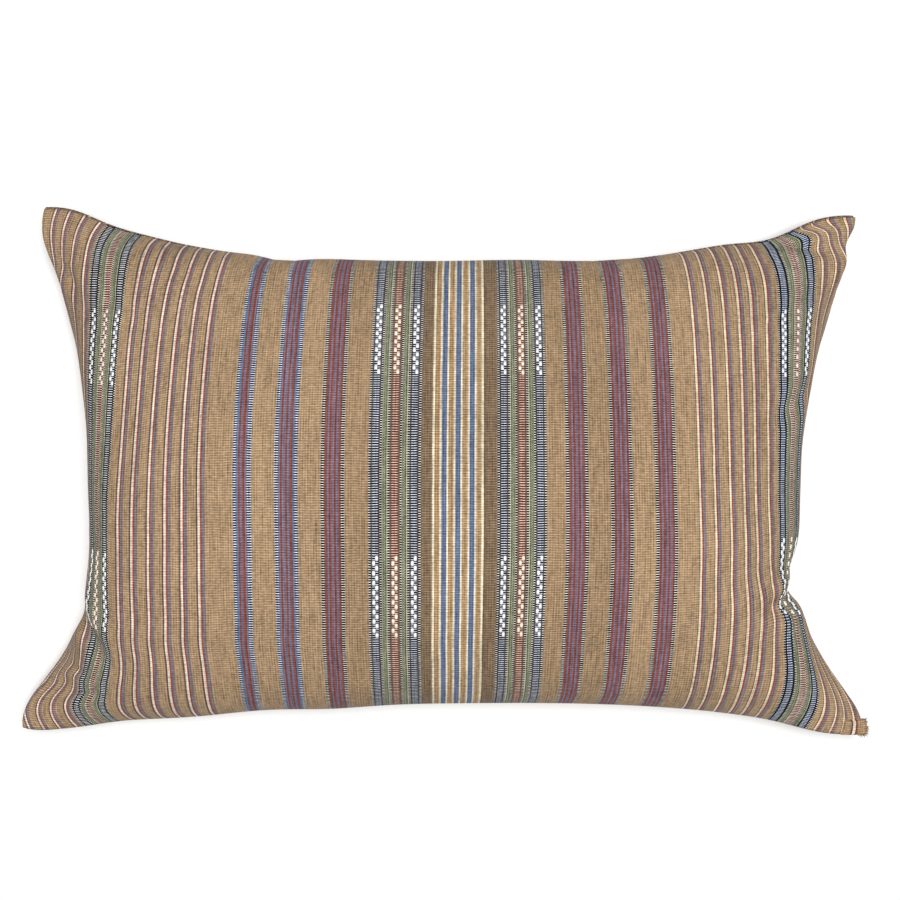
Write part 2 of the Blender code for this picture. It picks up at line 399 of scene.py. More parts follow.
def laid_bands():
    """Every band across the cloth in order, as start and end in mm and the band."""
    place = -HALF_WIDTH_MM
    laid = []
    for group in sorted(GROUPS):
        if group.start > place + ROUNDING_MM:
            laid.append((place, group.start, GROUND))
        place = group.start
        stated = sum(band.width for band in group.bands) or 1.0
        for band in group.bands:
            end = place + (band.width or stated) / stated * group.width
            laid.append((place, end, band))
            place = end
    laid.append((place, HALF_WIDTH_MM, GROUND))
    return laid


def divided(edges, longest):
    """The edges with even steps between them, none longer than the longest."""
    places = [edges[0]]
    for start, end in zip(edges, edges[1:]):
        steps = max(1, math.ceil((end - start) / longest))
        places.extend(np.linspace(start, end, steps + 1)[1:])
    return np.array(places)


def turn_share(turn, shares):
    """Share of its whole turn that the cloth has made at each share of its length."""
    ramp = np.clip(shares / turn.knee, 0.0, 1.0)
    lean = ramp * ramp * (3.0 - 2.0 * ramp)
    roll = 1.0 / (1.0 + np.exp((turn.roll_at - shares) / turn.roll_spread))
    return turn.lean * lean + (1.0 - turn.lean) * roll


def running_sum(values, step):
    """Integral along the last axis, from 0 at the first value."""
    pieces = (values[..., 1:] + values[..., :-1]) * (step / 2.0)
    return np.concatenate([np.zeros(values.shape[:-1] + (1,)), np.cumsum(pieces, axis=-1)], axis=-1)


def bend_half(turn, length, height_shares, places):
    """Reach and remaining height share of half rows of cloth, each climbing its share of the rise."""
    steps = np.linspace(0.0, 1.0, PROFILE_STEPS + 1)
    angles = np.radians(turn.full_turn) * np.outer(height_shares, turn_share(turn, steps))
    reach = running_sum(np.cos(angles), length / PROFILE_STEPS)
    drop = running_sum(np.sin(angles), length / PROFILE_STEPS)
    height = 1.0 - drop / drop[:, -1:]
    reach_at = np.array([np.interp(places, steps, row) for row in reach])
    height_at = np.array([np.interp(places, steps, row) for row in height])
    return reach_at, height_at


def bend_rows(low_turn, high_turn, half_length, height_shares, places):
    """Position and height share of whole rows of cloth at places from -1 to 1."""
    low_reach, low_height = bend_half(low_turn, half_length, height_shares, -np.minimum(places, 0.0))
    high_reach, high_height = bend_half(high_turn, half_length, height_shares, np.maximum(places, 0.0))
    is_low = places < 0.0
    return np.where(is_low, -low_reach, high_reach), np.where(is_low, low_height, high_height)


def toward(sign, places, power):
    """Weight that grows from 0 at one edge to 1 at the edge on the sign's side."""
    return ((1.0 + sign * places) / 2.0) ** power


def corner_weight(corner, across, along):
    """Weight that grows from 0 at the edges across from the corner to 1 at the corner."""
    return np.outer(
        toward(corner.along, along, CORNER_FALLOFF), toward(corner.across, across, CORNER_FALLOFF)
    )


def shift_edges(x, y, across, along):
    """Draws the corners in and pushes or pinches stretches of the edges."""
    for corner in CORNERS:
        weight = corner_weight(corner, across, along)
        x = x - corner.across * corner.draw_x * weight
        y = y - corner.along * corner.draw_y * weight
    for shift in EDGE_SHIFTS:
        sign = 1 if shift.edge in ("top", "right") else -1
        if shift.edge in ("top", "bottom"):
            stretch = np.exp(-(((across * PANEL_WIDTH / 2.0 - shift.place) / shift.spread) ** 2))
            y = y + sign * shift.outward * np.outer(toward(sign, along, shift.falloff), stretch)
        else:
            stretch = np.exp(-(((along * PANEL_HEIGHT / 2.0 - shift.place) / shift.spread) ** 2))
            x = x + sign * shift.outward * np.outer(stretch, toward(sign, across, shift.falloff))
    return x, y


def filled_panel(across, along):
    """Plan position of each place of the panel, and its height as a share of the rise."""
    side_turns = TURNS["left"], TURNS["right"], PANEL_WIDTH / 2.0
    end_turns = TURNS["bottom"], TURNS["top"], PANEL_HEIGHT / 2.0
    across_height = np.maximum(bend_rows(*side_turns, np.ones(1), across)[1][0], LEAST_HEIGHT_SHARE)
    along_height = np.maximum(bend_rows(*end_turns, np.ones(1), along)[1][0], LEAST_HEIGHT_SHARE)
    x, row_height = bend_rows(*side_turns, along_height, across)
    y, column_height = bend_rows(*end_turns, across_height, along)
    height = (row_height * along_height[:, None] + (column_height * across_height[:, None]).T) / 2.0
    x = x * (1.0 - GATHERS["top"] * np.maximum(along, 0.0)[:, None] ** 2)
    y = y.T * (1.0 - GATHERS["left"] * np.minimum(across, 0.0) ** 2)
    y = y * (1.0 - GATHERS["right"] * np.maximum(across, 0.0) ** 2)
    x, y = shift_edges(x, y, across, along)
    return x, y, height


def surface_normals(points):
    """Unit normals of a grid of points, from the steps to the neighbours."""
    normals = np.cross(np.gradient(points, axis=1), np.gradient(points, axis=0))
    return normals / np.linalg.norm(normals, axis=2, keepdims=True)


def crease_depths(across, along):
    """Depth of the creases at each place, with a low ridge along both sides of each."""
    across_length, along_length = np.meshgrid(across * PANEL_WIDTH / 2.0, along * PANEL_HEIGHT / 2.0)
    depth = np.zeros_like(across_length)
    for crease in CREASES:
        heading = np.radians(crease.heading)
        from_x = across_length - crease.across
        from_y = along_length - crease.along
        lengthwise = (from_x * np.cos(heading) + from_y * np.sin(heading)) / crease.half_length
        sideways = (from_y * np.cos(heading) - from_x * np.sin(heading)) / crease.half_width
        trough = (1.0 - CREASE_RIDGE * sideways**2) * np.exp(-CREASE_FADE * sideways**2)
        depth = depth + crease.depth * trough * np.exp(-(lengthwise**2))
    return depth


def flattened(depths):
    """Depths below the seam, rounded off to the level of the surface where they would pass it."""
    share = depths / SEAM_LEVEL
    into = np.clip(share - (1.0 - FLATTENING), 0.0, 2.0 * FLATTENING)
    rounded = np.minimum(share, 1.0 + FLATTENING) - into**2 / (4.0 * FLATTENING)
    return np.minimum(rounded, 1.0) * SEAM_LEVEL


def cover_grids(across, along):
    """Front and back points of the cover, row by row."""
    x, y, height = filled_panel(across, along)
    lift = sum(corner.lift * corner_weight(corner, across, along) for corner in CORNERS)
    half_seam = SEAM_THICKNESS / 2.0
    front = np.dstack([x, y, SEAM_LEVEL + half_seam + lift + height * (FRONT_RISE - half_seam)])
    presence = np.clip((front[..., 2] - SEAM_LEVEL) / FULL_CREASE_HEIGHT, 0.0, 1.0)
    front = front - surface_normals(front) * (crease_depths(across, along) * presence)[..., None]
    back_depth = half_seam - lift + height * (BACK_RISE - half_seam)
    back = np.dstack([x, y, SEAM_LEVEL - flattened(back_depth)])
    middle = (front.reshape(-1, 3).min(axis=0) + front.reshape(-1, 3).max(axis=0)) / 2.0
    middle[2] = 0.0
    return front - middle, back - middle


def rim_of(grid):
    """The grid's outer values in one loop, turning from +X to +Y."""
    return np.concatenate([grid[0, :-1], grid[:-1, -1], grid[-1, :0:-1], grid[:0:-1, 0]])


def quads_of(ids):
    """The faces between a grid's rows and columns, as the ids of their corners."""
    return np.stack([ids[:-1, :-1], ids[:-1, 1:], ids[1:, 1:], ids[1:, :-1]], axis=-1).reshape(-1, 4)


def resampled(lines, places, moved_places):
    """Points of each line of a grid at new places, along a smooth curve through the line."""
    steps = np.gradient(lines, places, axis=1)
    moved = np.empty(moved_places.shape + (3,))
    for line, at in enumerate(moved_places):
        low = np.clip(np.searchsorted(places, at) - 1, 0, len(places) - 2)
        gap = (places[low + 1] - places[low])[:, None]
        share = (at - places[low])[:, None] / gap
        start, end = lines[line, low], lines[line, low + 1]
        moved[line] = (
            start * (1.0 + 2.0 * share) * (1.0 - share) ** 2
            + steps[line, low] * gap * share * (1.0 - share) ** 2
            + end * share**2 * (3.0 - 2.0 * share)
            + steps[line, low + 1] * gap * share**2 * (share - 1.0)
        )
    return moved


def redrawn(grid, across, along, new_across, new_along):
    """The grid's points at new places both ways."""
    rows = resampled(grid, across, np.tile(new_across, (len(along), 1)))
    columns = resampled(rows.transpose(1, 0, 2), along, np.tile(new_along, (len(new_across), 1)))
    return columns.transpose(1, 0, 2)


def creep(across, along, direction):
    """How far the cloth has crept in one direction at each place, in metres."""
    crept_by = np.zeros((len(along), len(across)))
    for slide in SLIDES:
        sideways = np.exp(-(((across - slide.across) / slide.reach_across) ** 2))
        lengthwise = np.exp(-(((along - slide.along) / slide.reach_along) ** 2))
        crept_by = crept_by + getattr(slide, direction) * np.outer(lengthwise, sideways)
    return crept_by


def crept_cover(front, back, across, along):
    """Front and back with their cloth crept over them. Sideways it may pass round the edge."""
    columns, under = len(across), SLIDE_UNDER_COLUMNS
    fixed_ends = (1.0 - (np.abs(along) * 2.0 / PANEL_HEIGHT) ** SLIDE_END_POWER)[:, None]
    along_moved = along[:, None] + creep(across, along, "lengthwise") * fixed_ends
    front, back = (
        resampled(grid.transpose(1, 0, 2), along, along_moved.T).transpose(1, 0, 2) for grid in (front, back)
    )
    left, right = slice(under, None, -1), slice(None, -under - 2, -1)
    turned = PANEL_WIDTH + SEAM_THICKNESS
    places = np.concatenate([-turned - across[left], across, turned - across[right]])
    around = np.concatenate([back[:, left], front, back[:, right]], axis=1)
    moved = resampled(around, places, places + creep(places, along, "sideways"))
    front = moved[:, under + 1 : under + 1 + columns]
    back = back.copy()
    back[:, : under + 1] = moved[:, left]
    back[:, -under - 1 :] = moved[:, right]
    return front, back


def settled_cover(front, back):
    """Front and back after a short simulation: flat-cut cotton, sewn at the rim, under the
    filling's pressure. Only its small waves are kept, as the broad form is already measured."""
    across, along = (
        np.linspace(-0.5, 0.5, round(size / SIMULATED_CELL) + 1) * size
        for size in (PANEL_WIDTH, PANEL_HEIGHT)
    )
    fine_across, fine_along = across_mm / 1000.0, along_mm / 1000.0
    starts = [redrawn(grid, fine_across, fine_along, across, along) for grid in (front, back)]
    count = len(across) * len(along)
    ids = np.arange(count).reshape(len(along), len(across))
    quads, rim = quads_of(ids), rim_of(ids)
    strip = np.stack([rim + count, np.roll(rim, -1) + count, np.roll(rim, -1), rim], axis=-1)
    started = np.concatenate([grid.reshape(-1, 3) for grid in starts])
    faces = np.concatenate([quads, quads[:, ::-1] + count, strip])
    cover = placed("cover_for_simulation", new_mesh("cover_for_simulation", started, faces))
    cover.vertex_groups.new(name="seam").add(np.concatenate([rim, rim + count]).tolist(), 1.0, "REPLACE")
    cover.shape_key_add(name="filled")
    cut_flat = cover.shape_key_add(name="cut_flat")
    flat_x, flat_y = np.meshgrid(across, along)
    flat = np.dstack([flat_x, flat_y, np.full_like(flat_x, SEAM_LEVEL)]).reshape(-1, 3)
    flat = np.concatenate([flat, flat - [0.0, 0.0, SEAM_THICKNESS]])
    cut_flat.data.foreach_set("co", flat.ravel())
    cloth = cover.modifiers.new("cloth", "CLOTH")
    cloth.settings.rest_shape_key = cut_flat
    cloth.settings.vertex_group_mass = "seam"
    cloth.settings.use_pressure = True
    cloth.settings.uniform_pressure_force = FILLING_PRESSURE
    cloth.settings.bending_stiffness = COTTON_BENDING
    cloth.settings.effector_weights.gravity = 0.0
    cloth.point_cache.frame_end = SIMULATION_FRAMES
    for frame_number in range(1, SIMULATION_FRAMES + 1):
        scene.frame_set(frame_number)
    evaluated = cover.evaluated_get(bpy.context.evaluated_depsgraph_get())
    ended = np.empty(2 * count * 3)
    evaluated.data.vertices.foreach_get("co", ended)
    bpy.data.objects.remove(cover)
    scene.frame_set(1)
    moves = (ended.reshape(-1, 3) - started).reshape(2, len(along), len(across), 3)
    settled = []
    for grid, move in zip((front, back), moves):
        for axis, places in ((0, along), (1, across)):
            spread = np.exp(-(((places[:, None] - places[None, :]) / BROAD_WAVE) ** 2))
            spread = spread / spread.sum(axis=1, keepdims=True)
            broad = np.moveaxis(np.tensordot(spread, move if axis == 0 else broad, (1, axis)), 0, axis)
        waves = move - broad
        waves = waves / (1.0 + np.linalg.norm(waves, axis=2, keepdims=True) / MOST_WAVE)
        waves[[0, -1]] = 0.0
        waves[:, [0, -1]] = 0.0
        waves = redrawn(waves, across, along, fine_across, fine_along)
        height = np.clip(grid[..., 2:] / RESTING_HEIGHT, 0.0, 1.0)
        settled.append(grid + waves * height)
    return settled


def linear(code):
    """Linear red, green and blue of an sRGB hex colour."""
    parts = [int(code[place : place + 2], 16) / 255.0 for place in (1, 3, 5)]
    return [part / 12.92 if part <= 0.04045 else ((part + 0.055) / 1.055) ** 2.4 for part in parts]


def new_material(name, values):
    """A material, its tree and its shader, whose inputs take these values."""
    material = bpy.data.materials.new(name)
    material.use_nodes = True
    shader = material.node_tree.nodes["Principled BSDF"]
    for key, value in values.items():
        shader.inputs[key].default_value = value
    return material, material.node_tree, shader


def add_node(tree, kind, inputs=None, **settings):
    """Adds a node, with its settings, and the values, sockets or nodes that its inputs take. A
    node there stands for its first output."""
    node = tree.nodes.new(kind)
    for name, value in settings.items():
        setattr(node, name, value)
    for name, value in (inputs or {}).items():
        if isinstance(value, bpy.types.Node):
            value = value.outputs[0]
        if isinstance(value, bpy.types.NodeSocket):
            tree.links.new(value, node.inputs[name])
        else:
            node.inputs[name].default_value = value
    return node


# How far the rungs wander, in pairs of picks, and the wave heights between which the yarns change
WANDER = 1.2
WANDER_SCALE = (0.05, 0.04, 0.0)
YARNS_CHANGE = (0.5, 0.85)
END_PITCH_MM = 1.8
# How much painted shade darkens the gaps between the ends, and painted light brightens the ends, as a share
# of the tone
END_GAP_SHADING = 0.15
# How much the tone differs from pick to pick, from end to end and over broad patches, each with
# the scale of its noise across in mm or ends and along in picks or pairs of picks
Unevenness = namedtuple("Unevenness", "strength scale")
PICK_UNEVENNESS = Unevenness(0.9, (0.35, 7.31, 0.0))
END_UNEVENNESS = Unevenness(0.8, (5.17, 0.10, 0.0))
SLOW_FADING = Unevenness(0.25, (0.02, 0.012, 0.0))
RIB_SHARE = 0.35
RIB_HEIGHT = 0.00025


def handwoven_cotton():
    """Plain-woven cotton with a close warp: matt, with a faint down. Its two yarns change with the picks, so
    they show as rungs or as a fine check. In a stripe of one colour the second yarn is painted shade between
    the picks, and painted light and shade across the ends adds to the check. The yarn is uneven along both
    ways, and each pick stands a little proud."""
    down = {"Sheen Weight": 0.03, "Sheen Roughness": 0.5}
    matt = {"Roughness": 0.88, "Specular IOR Level": 0.15}
    material, tree, shader = new_material("handwoven_cotton", {**matt, **down})
    cloth = add_node(tree, "ShaderNodeUVMap", uv_map="cloth")
    place = add_node(tree, "ShaderNodeSeparateXYZ", {0: cloth})
    across, picks = place.outputs["X"], place.outputs["Y"]
    light = add_node(tree, "ShaderNodeAttribute", attribute_name="light_yarn")
    dark = add_node(tree, "ShaderNodeAttribute", attribute_name="dark_yarn_and_painted_shade")

    # The yarn on top changes once each pair of picks, drawn 1.7 mm apart
    wander_at = add_node(tree, "ShaderNodeVectorMath", {0: cloth, 1: WANDER_SCALE}, operation="MULTIPLY")
    wander = add_node(tree, "ShaderNodeTexNoise", {"Vector": wander_at, "Scale": 1.0, "Detail": 1.0})
    lateness = light.outputs["Alpha"]
    phase = add_node(tree, "ShaderNodeMath", {0: wander, 1: WANDER, 2: lateness}, operation="MULTIPLY_ADD")
    phase = add_node(tree, "ShaderNodeMath", {0: phase, 1: picks}, operation="ADD")
    angle = add_node(tree, "ShaderNodeMath", {0: phase, 1: 2.0 * math.pi}, operation="MULTIPLY")
    wave = add_node(tree, "ShaderNodeMath", {0: angle}, operation="SINE")
    change = {0: wave, 1: YARNS_CHANGE[0], 2: YARNS_CHANGE[1]}
    over = add_node(tree, "ShaderNodeMapRange", change, interpolation_type="SMOOTHSTEP")
    # In a stripe of one colour the dark yarn is painted shade, where the yarn dips between picks
    yarn = add_node(tree, "ShaderNodeMix", {0: over, 6: dark, 7: light}, data_type="RGBA")

    # Painted shade in the gaps between the ends and painted light on the ends between them, and uneven yarn:
    # each pick and each end has its own tone for a while, and the whole fades slowly. Ends are drawn 1.8 mm
    # apart, as finer ones don't show.
    half_pick = add_node(tree, "ShaderNodeMath", {0: picks, 1: 2.0}, operation="MULTIPLY")
    half_pick = add_node(tree, "ShaderNodeMath", {0: half_pick}, operation="FLOOR")
    end = add_node(tree, "ShaderNodeMath", {0: across, 1: END_PITCH_MM / 2.0}, operation="DIVIDE")
    end = add_node(tree, "ShaderNodeMath", {0: end}, operation="FLOOR")
    by_pick = add_node(tree, "ShaderNodeCombineXYZ", {"X": across, "Y": half_pick})
    by_end = add_node(tree, "ShaderNodeCombineXYZ", {"X": end, "Y": picks})
    gap_turns = 2.0 * math.pi / END_PITCH_MM
    gap_at = add_node(tree, "ShaderNodeMath", {0: across, 1: gap_turns}, operation="MULTIPLY")
    gap = add_node(tree, "ShaderNodeMath", {0: gap_at}, operation="SINE")
    tone = add_node(tree, "ShaderNodeMath", {0: gap, 1: END_GAP_SHADING, 2: 1.0}, operation="MULTIPLY_ADD")
    for place, kind in ((by_pick, PICK_UNEVENNESS), (by_end, END_UNEVENNESS), (cloth, SLOW_FADING)):
        at = add_node(tree, "ShaderNodeVectorMath", {0: place, 1: kind.scale}, operation="MULTIPLY")
        uneven = add_node(tree, "ShaderNodeTexNoise", {"Vector": at, "Scale": 1.0, "Detail": 0.0})
        part = {0: uneven, 1: kind.strength, 2: -kind.strength / 2.0}
        part = add_node(tree, "ShaderNodeMath", part, operation="MULTIPLY_ADD")
        tone = add_node(tree, "ShaderNodeMath", {0: tone, 1: part}, operation="ADD")
    tint(tree, shader, yarn.outputs[2], tone)

    rib = add_node(tree, "ShaderNodeMath", {0: wave, 1: RIB_SHARE, 2: tone}, operation="MULTIPLY_ADD")
    bump = add_node(tree, "ShaderNodeBump", {"Height": rib, "Strength": 0.5, "Distance": RIB_HEIGHT})
    tree.links.new(bump.outputs[0], shader.inputs["Normal"])
    return material


def tint(tree, shader, colour, tone):
    """Gives the shader this colour, made lighter or darker by the tone."""
    toned = add_node(tree, "ShaderNodeVectorMath", {0: colour, "Scale": tone}, operation="SCALE")
    tree.links.new(toned.outputs[0], shader.inputs["Base Color"])


def yarn_colours(stripes):
    """Linear colours of each stripe's two yarns; in a stripe of one colour the dark one is painted shade.
    The alpha of the light one is its lateness.
    """
    light = [[*linear(YARNS[stripe.light]), LATENESS[stripe.weave]] for stripe in stripes]
    dark = [[*linear(YARNS[stripe.dark]), 1.0] for stripe in stripes]
    return {"light_yarn": np.array(light), "dark_yarn_and_painted_shade": np.array(dark)}


def lay_cloth(mesh, across, picks, colours, stripe_of_face):
    """Gives the mesh its cloth: where each face corner lies in it, and each face's yarns."""
    cloth = mesh.uv_layers.new(name="cloth")
    cloth.data.foreach_set("uv", np.stack([across, picks], axis=-1).ravel())
    for attribute, values in colours.items():
        layer = mesh.color_attributes.new(attribute, "FLOAT_COLOR", "CORNER")
        layer.data.foreach_set("color", np.repeat(values[stripe_of_face], 4, axis=0).ravel())


# The half width of the panel in the square that its materials are baked to
BAKE_SHARE = 0.49


def panel_piece(name, points, seam, upward, material):
    """One panel of the cover, with the half of the seam's groove that it forms, where its stripes
    run on into the seam allowance."""
    rows, columns = points.shape[:2]
    count = rows * columns
    ids = np.arange(count).reshape(rows, columns)
    loop = rim_of(ids)
    groove = count + np.arange(len(loop))
    strip = np.stack([groove, np.roll(groove, -1), np.roll(loop, -1), loop], axis=-1)
    faces = np.concatenate([quads_of(ids), strip])
    source = np.concatenate([np.arange(count), loop])
    if not upward:
        faces = faces[:, ::-1]
    mesh = new_mesh(name, np.concatenate([points.reshape(-1, 3), seam]), faces)
    corner_source = source[faces.ravel()]
    column = corner_source % columns
    row = corner_source // columns
    turned_in = (faces.ravel() >= count) * SEAM_ALLOWANCE_MM
    beyond_side = turned_in * ((column == columns - 1).astype(int) - (column == 0))
    beyond_end = turned_in * ((row == rows - 1).astype(int) - (row == 0))
    cloth_across = across_mm[column] + beyond_side
    cloth_picks = picks_at[row] + beyond_end / beat_lengths[0]
    face_column = column.reshape(-1, 4).min(axis=1).clip(0, columns - 2)
    lay_cloth(mesh, cloth_across, cloth_picks, yarns_at, face_column)
    bake = mesh.uv_layers.new(name="OFBake")
    across_share = 0.5 + BAKE_SHARE * across_mm[column] / HALF_WIDTH_MM
    along_share = 0.5 + BAKE_SHARE * along_mm[row] / HALF_HEIGHT_MM
    bake.data.foreach_set("uv", np.stack([across_share, along_share], axis=-1).ravel())
    mesh.shade_smooth()
    mesh.materials.append(material)
    return placed(name, mesh)


bands = laid_bands()
band_edges = [start for start, end, band in bands] + [bands[-1][1]]
across_mm = divided(band_edges, WIDEST_COLUMN)
along_mm = divided([-HALF_HEIGHT_MM, 0.0, HALF_HEIGHT_MM], TALLEST_ROW)
beat_places, beat_lengths = zip(*BEAT)
picks_per_mm = 1.0 / np.interp(along_mm, beat_places, beat_lengths)
picks_in_rows = (picks_per_mm[1:] + picks_per_mm[:-1]) / 2.0 * np.diff(along_mm)
picks_at = np.concatenate([[0.0], np.cumsum(picks_in_rows)])
picks_at = picks_at - np.interp(0.0, along_mm, picks_at)

band_of = np.searchsorted(band_edges, (across_mm[1:] + across_mm[:-1]) / 2.0) - 1
yarns_at = yarn_colours([bands[i][2] for i in band_of])

across_places = across_mm / HALF_WIDTH_MM
along_places = along_mm / HALF_HEIGHT_MM
front, back = cover_grids(across_places, along_places)
front, back = settled_cover(front, back)
front, back = crept_cover(front, back, across_mm / 1000.0, along_mm / 1000.0)


# The seam lies in a groove, just inside the two edges that it joins. Along the top the back
# panel was pulled round a little, so a line of it shows beyond the seam, most at the ears.
SEAM_INSET = 0.0008
BACK_SHOWS = 0.0014
BACK_SHOWS_LEAST = 0.25
EARS_START = 0.55
EARS_SPREAD = 0.15

at_ears = np.clip((np.abs(across_places) - EARS_START) / EARS_SPREAD, 0.0, 1.0)
back[-1, :, 1] += BACK_SHOWS * (BACK_SHOWS_LEAST + (1.0 - BACK_SHOWS_LEAST) * at_ears)
seam_line = (rim_of(front) + rim_of(back)) / 2.0
heading = np.roll(seam_line, -1, axis=0) - np.roll(seam_line, 1, axis=0)
heading = heading / np.linalg.norm(heading, axis=1, keepdims=True)
inward = np.stack([-heading[:, 1], heading[:, 0], np.zeros(len(heading))], axis=-1)
seam_line = seam_line + inward * SEAM_INSET

cotton = handwoven_cotton()
front_panel = panel_piece("front_panel", front, seam_line, True, cotton)
back_panel = panel_piece("back_panel", back, seam_line, False, cotton)
for panel in (front_panel, back_panel):
    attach(panel, "root")
    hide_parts("cushion")


# Inlay
# Thick soft cotton laid in by hand over the barred stripes, in two places along the cloth. Each
# float passes over two pairs of picks in one half of the stripe, then in the other half.
INLAY_STEPS = 17
PICKS_PER_STEP = 2.0
INLAY_STARTS = (-62.8, 45.4)
INLAY_THICKNESS_MM = 0.9
INLAY_WHITE = "#FBFCFC"
INLAY_CREAM = "#FBF0DC"
# A float on its own takes this share of its stripe, and each is a little wider and longer than
# the ground that it passes over. Squareness is how much of a block a short thread keeps.
SINGLE_FLOAT_SHARE = 0.62
FLOAT_WIDENED = 1.05
FLOAT_LENGTHENED = 1.06
INLAY_SQUARENESS = 0.65


def inlay_floats():
    """Every float: its place across in mm and along in pairs of picks, its width, and if warm."""
    floats = []
    for start, end, band in bands:
        if band.inlay is None:
            continue
        width = end - start
        middle = (start + end) / 2.0
        for inlay_start in INLAY_STARTS:
            for step in range(INLAY_STEPS):
                picks = inlay_start + (step + 0.5) * PICKS_PER_STEP
                side = 1 if step % 2 == 0 else -1
                if band.inlay != "warm single":
                    half_middle = middle + side * width * 0.25
                    floats.append((half_middle, picks, width * 0.5, band.inlay == "warm"))
                elif side == 1:
                    floats.append((middle, picks, width * SINGLE_FLOAT_SHARE, True))
    return floats


def cell_at(places, edges):
    """The cell between two edges that each place is in, and its share of the way through."""
    at = np.interp(places, edges, np.arange(len(edges)))
    cell = np.minimum(at.astype(int), len(edges) - 2)
    return cell, (at - cell)[:, None]


def grid_place(grid, across, along):
    """Points of a grid at places in mm, between its rows and columns."""
    (left, u), (low, v) = cell_at(across, across_mm), cell_at(along, along_mm)
    below = grid[low, left] * (1.0 - u) + grid[low, left + 1] * u
    above = grid[low + 1, left] * (1.0 - u) + grid[low + 1, left + 1] * u
    return below * (1.0 - v) + above * v


def threads_tree():
    """Geometry nodes that lay a short rounded length of thread at each point."""
    tree = bpy.data.node_groups.new("short_threads", "GeometryNodeTree")
    for name, kind in (("Places", "Geometry"), ("Squareness", "Float"), ("Thread", "Material")):
        tree.interface.new_socket(name, in_out="INPUT", socket_type="NodeSocket" + kind)
    tree.interface.new_socket("Threads", in_out="OUTPUT", socket_type="NodeSocketGeometry")
    given = add_node(tree, "NodeGroupInput")
    block = add_node(tree, "GeometryNodeMeshCube", {"Size": (1.0, 1.0, 1.0)})
    rounding = {"Mesh": block, "Level": 1, "Edge Crease": given.outputs["Squareness"]}
    rounded = add_node(tree, "GeometryNodeSubdivisionSurface", rounding)
    outward, lengthwise, size = (
        add_node(tree, "GeometryNodeInputNamedAttribute", {"Name": name}, data_type="FLOAT_VECTOR")
        for name in ("outward", "lengthwise", "size")
    )
    turned = add_node(
        tree,
        "FunctionNodeAxesToRotation",
        {"Primary Axis": outward, "Secondary Axis": lengthwise},
        primary_axis="Z",
        secondary_axis="Y",
    )
    points = given.outputs["Places"]
    laying = {"Points": points, "Instance": rounded, "Rotation": turned, "Scale": size}
    laid = add_node(tree, "GeometryNodeInstanceOnPoints", laying)
    real = add_node(tree, "GeometryNodeRealizeInstances", {"Geometry": laid})
    smooth = add_node(tree, "GeometryNodeSetShadeSmooth", {"Geometry": real})
    thread = given.outputs["Thread"]
    finished = add_node(tree, "GeometryNodeSetMaterial", {"Geometry": smooth, "Material": thread})
    add_node(tree, "NodeGroupOutput", {"Threads": finished})
    return tree


def short_threads(name, places, outward, lengthwise, sizes, warm, squareness, material):
    """One piece of short threads, each at its place, with its own size, and warm or not."""
    mesh = new_mesh(name + "_places", places)
    for attribute, values in (("outward", outward), ("lengthwise", lengthwise), ("size", sizes)):
        layer = mesh.attributes.new(attribute, "FLOAT_VECTOR", "POINT")
        layer.data.foreach_set("vector", values.ravel())
    mesh.attributes.new("warm", "FLOAT", "POINT").data.foreach_set("value", warm)
    laid = placed(name + "_places", mesh)
    modifier = laid.modifiers.new("threads", "NODES")
    modifier.node_group = thread_nodes
    inputs = {item.name: item.identifier for item in thread_nodes.interface.items_tree}
    modifier[inputs["Squareness"]] = squareness
    modifier[inputs["Thread"]] = material
    evaluated = laid.evaluated_get(bpy.context.evaluated_depsgraph_get())
    finished = bpy.data.meshes.new_from_object(evaluated)
    finished.name = name
    bpy.data.objects.remove(laid)
    return placed(name, finished)


def mottle(tree, shader, colour, scale, least, most):
    """Gives the shader its colour, a little lighter or darker from one spot to the next."""
    position = add_node(tree, "ShaderNodeTexCoord").outputs["Object"]
    spots = add_node(tree, "ShaderNodeTexNoise", {"Vector": position, "Scale": scale, "Detail": 1.0})
    tone = add_node(tree, "ShaderNodeMapRange", {0: spots, 1: 0.3, 2: 0.7, 3: least, 4: most})
    tint(tree, shader, colour, tone)


def soft_cotton():
    """Loosely spun thick cotton: bright, quite matt, each float a little lighter or darker."""
    matt = {"Roughness": 0.9, "Specular IOR Level": 0.2}
    material, tree, shader = new_material("soft_spun_cotton", matt)
    warm = add_node(tree, "ShaderNodeAttribute", attribute_name="warm")
    colour = add_node(
        tree,
        "ShaderNodeMix",
        {0: warm.outputs["Fac"], 6: (*linear(INLAY_WHITE), 1.0), 7: (*linear(INLAY_CREAM), 1.0)},
        data_type="RGBA",
    )
    mottle(tree, shader, colour.outputs[2], scale=500.0, least=0.8, most=1.02)
    return material


thread_nodes = threads_tree()
inlay_across, inlay_picks, inlay_widths, inlay_warm = np.array(inlay_floats(), dtype=float).T
inlay_along = np.interp(inlay_picks, picks_at, along_mm)
inlay_ends = np.interp(inlay_picks + PICKS_PER_STEP / 2.0, picks_at, along_mm)
inlay_lengths = 2.0 * (inlay_ends - inlay_along)
front_normals = surface_normals(front)
front_lengthwise = np.gradient(front, axis=0)
inlay_thicknesses = np.full_like(inlay_widths, INLAY_THICKNESS_MM)
inlay_sizes = (inlay_widths * FLOAT_WIDENED, inlay_lengths * FLOAT_LENGTHENED, inlay_thicknesses)
inlay_piece = short_threads(
    "inlay_floats",
    grid_place(front, inlay_across, inlay_along),
    grid_place(front_normals, inlay_across, inlay_along),
    grid_place(front_lengthwise, inlay_across, inlay_along),
    np.stack(inlay_sizes, axis=-1) / 1000.0,
    inlay_warm,
    INLAY_SQUARENESS,
    soft_cotton(),
)
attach(inlay_piece, "root")


# Seam stitches
# Dark brown polyester sewing thread in one row of machine stitches, 3.2 mm apart all round. It
# sits deep in the seam and shows as short dashes where the seam opens a little.
STITCH_PITCH = 0.0032
STITCH_SIZE = (0.0005, 0.0019, 0.0005)
STITCH_OUT = 0.0007
STITCH_SQUARENESS = 0.3
THREAD_BROWN = "#3A2E27"


